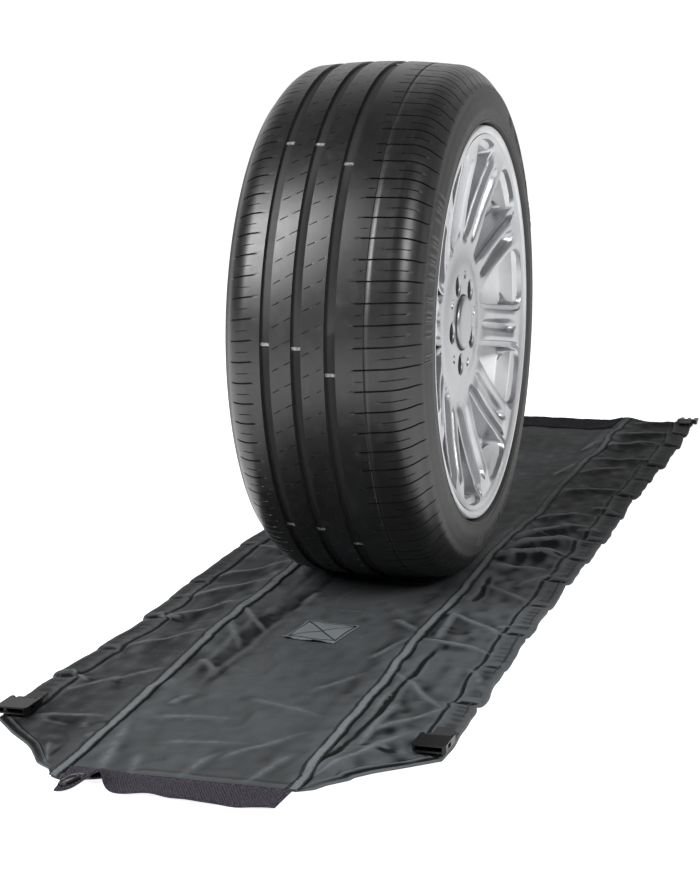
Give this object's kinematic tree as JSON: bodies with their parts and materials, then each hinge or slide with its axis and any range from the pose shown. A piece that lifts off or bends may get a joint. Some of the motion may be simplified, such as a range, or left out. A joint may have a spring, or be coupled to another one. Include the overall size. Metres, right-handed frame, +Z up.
{
  "type": "snow sock with tyre",
  "caption": "Opened-out textile snow sock with hook and loop end strips, elastic hems and side-release buckles, with a car wheel standing on it.",
  "frame": {"origin": "on the floor, underside of the centre panel, straight below the middle of the tyre's contact patch", "axes": "+X out of the wheel's outer face, across the sock; +Y along the sock from its hook strip to its loop strip; +Z up"},
  "size_m": [0.5148, 2.124, 0.6884],
  "materials": {
    "tyre_rubber": "worn satin rubber",
    "alloy": "bright silver lacquer",
    "cap_paint": "silver paint on plastic",
    "spring_steel": "bright wire",
    "nylon": "moulded nylon",
    "valve_rubber": "moulded rubber",
    "valve_cap": "moulded plastic",
    "brass": "bright",
    "zinc": "dull grey coating",
    "coated_cloth": "coated woven nylon",
    "seam_tape": "folded binding tape",
    "elastic": "braided elastic",
    "hook_tape": "hook tape",
    "loop_tape": "brushed loop tape",
    "patch_cloth": "stitched patch",
    "webbing": "woven webbing",
    "buckle_plastic": "moulded acetal"
  },
  "bodies": {
    "sock_centre": {"centre_panel": "coated_cloth", "loop_strip": "loop_tape", "reinforcement_patch": "patch_cloth", "left_seam_tape": "seam_tape", "right_seam_tape": "seam_tape", "left_seam_margin": "coated_cloth", "right_seam_margin": "coated_cloth"},
    "hook_strip_tab": {"hook_strip": "hook_tape"},
    "left_side": {"left_side_panel": "coated_cloth", "left_hem_channel": "coated_cloth", "left_elastic_cord": "elastic", "webbing_near_left": "webbing", "webbing_far_left": "webbing"},
    "right_side": {"right_side_panel": "coated_cloth", "right_hem_channel": "coated_cloth", "right_elastic_cord": "elastic", "webbing_near_right": "webbing", "webbing_far_right": "webbing"},
    "buckle_socket_left": {"buckle_socket_left": "buckle_plastic"},
    "buckle_socket_right": {"buckle_socket_right": "buckle_plastic"},
    "buckle_plug_left": {"buckle_plug_left": "buckle_plastic"},
    "buckle_plug_right": {"buckle_plug_right": "buckle_plastic"},
    "plug_left_arm_a": {"buckle_plug_left_arm_a": "buckle_plastic"},
    "plug_left_arm_b": {"buckle_plug_left_arm_b": "buckle_plastic"},
    "plug_right_arm_a": {"buckle_plug_right_arm_a": "buckle_plastic"},
    "plug_right_arm_b": {"buckle_plug_right_arm_b": "buckle_plastic"},
    "wheel_carrier": {"hub_centring_ring": "nylon"},
    "wheel": {"tyre": "tyre_rubber", "wheel_barrel": "alloy", "wheel_spokes": "alloy", "wheel_hub": "alloy", "valve_stem": "valve_rubber", "balance_weight_front": "zinc", "balance_weight_rear": "zinc"},
    "centre_cap": {"centre_cap": "cap_paint", "cap_snap_ring": "spring_steel"},
    "valve_cap": {"valve_cap": "valve_cap"},
    "valve_core": {"valve_core": "brass"}
  },
  "joints": [
    {"name": "wheel_travel", "type": "slide", "parent": "sock_centre", "child": "wheel_carrier", "axis": [0, 1, 0], "range_m": [-0.2, 0.7]},
    {"name": "wheel_roll", "type": "hinge", "parent": "wheel_carrier", "child": "wheel", "pos_m": [0, 0, 0.3452], "axis": [-1, 0, 0], "range_deg": [-40, 125]},
    {"name": "centre_cap_pull", "type": "slide", "parent": "wheel", "child": "centre_cap", "axis": [1, 0, 0], "range_m": [0, 0.03]},
    {"name": "valve_cap_off", "type": "slide", "parent": "wheel", "child": "valve_cap", "axis": [0.7071, 0.63, -0.321], "range_m": [0, 0.02]},
    {"name": "valve_core_press", "type": "slide", "parent": "wheel", "child": "valve_core", "axis": [-0.7071, -0.63, 0.321], "range_m": [0, 0.001], "stiffness_N_per_m": 400},
    {"name": "left_side_fold", "type": "hinge", "parent": "sock_centre", "child": "left_side", "pos_m": [-0.137, 0, 0.0012], "axis": [0, 1, 0], "range_deg": [0, 85]},
    {"name": "right_side_fold", "type": "hinge", "parent": "sock_centre", "child": "right_side", "pos_m": [0.152, 0, 0.0012], "axis": [0, -1, 0], "range_deg": [0, 90]},
    {"name": "hook_strip_lift", "type": "hinge", "parent": "sock_centre", "child": "hook_strip_tab", "pos_m": [0.02, -0.85855, 0.0026], "axis": [-1, 0, 0], "range_deg": [0, 90]},
    {"name": "socket_swivel_left", "type": "hinge", "parent": "left_side", "child": "buckle_socket_left", "pos_m": [-0.22091, -0.6965, 0.0119], "axis": [-1, 0, 0], "range_deg": [0, 130]},
    {"name": "plug_swivel_left", "type": "hinge", "parent": "left_side", "child": "buckle_plug_left", "pos_m": [-0.233, 1.172, 0.0042], "axis": [1, 0, 0], "range_deg": [0, 70]},
    {"name": "plug_left_squeeze_a", "type": "hinge", "parent": "buckle_plug_left", "child": "plug_left_arm_a", "pos_m": [-0.224, 1.1859, 0.0042], "axis": [0, 0, 1], "range_deg": [0, 7], "stiffness_Nm_per_rad": 0.3},
    {"name": "plug_left_squeeze_b", "type": "hinge", "parent": "buckle_plug_left", "child": "plug_left_arm_b", "pos_m": [-0.242, 1.1859, 0.0042], "axis": [0, 0, -1], "range_deg": [0, 7], "stiffness_Nm_per_rad": 0.3},
    {"name": "socket_swivel_right", "type": "hinge", "parent": "right_side", "child": "buckle_socket_right", "pos_m": [0.24509, -0.6965, 0.0119], "axis": [-1, 0, 0], "range_deg": [0, 130]},
    {"name": "plug_swivel_right", "type": "hinge", "parent": "right_side", "child": "buckle_plug_right", "pos_m": [0.233, 1.172, 0.0042], "axis": [1, 0, 0], "range_deg": [0, 70]},
    {"name": "plug_right_squeeze_a", "type": "hinge", "parent": "buckle_plug_right", "child": "plug_right_arm_a", "pos_m": [0.242, 1.1859, 0.0042], "axis": [0, 0, 1], "range_deg": [0, 7], "stiffness_Nm_per_rad": 0.3},
    {"name": "plug_right_squeeze_b", "type": "hinge", "parent": "buckle_plug_right", "child": "plug_right_arm_b", "pos_m": [0.224, 1.1859, 0.0042], "axis": [0, 0, -1], "range_deg": [0, 7], "stiffness_Nm_per_rad": 0.3}
  ],
  "couplings": [
    {"joint": "wheel_roll", "follows": "wheel_travel", "rad_per_m": 2.9104},
    {"joint": "plug_left_squeeze_b", "follows": "plug_left_squeeze_a", "ratio": 1},
    {"joint": "plug_right_squeeze_b", "follows": "plug_right_squeeze_a", "ratio": 1}
  ]
}
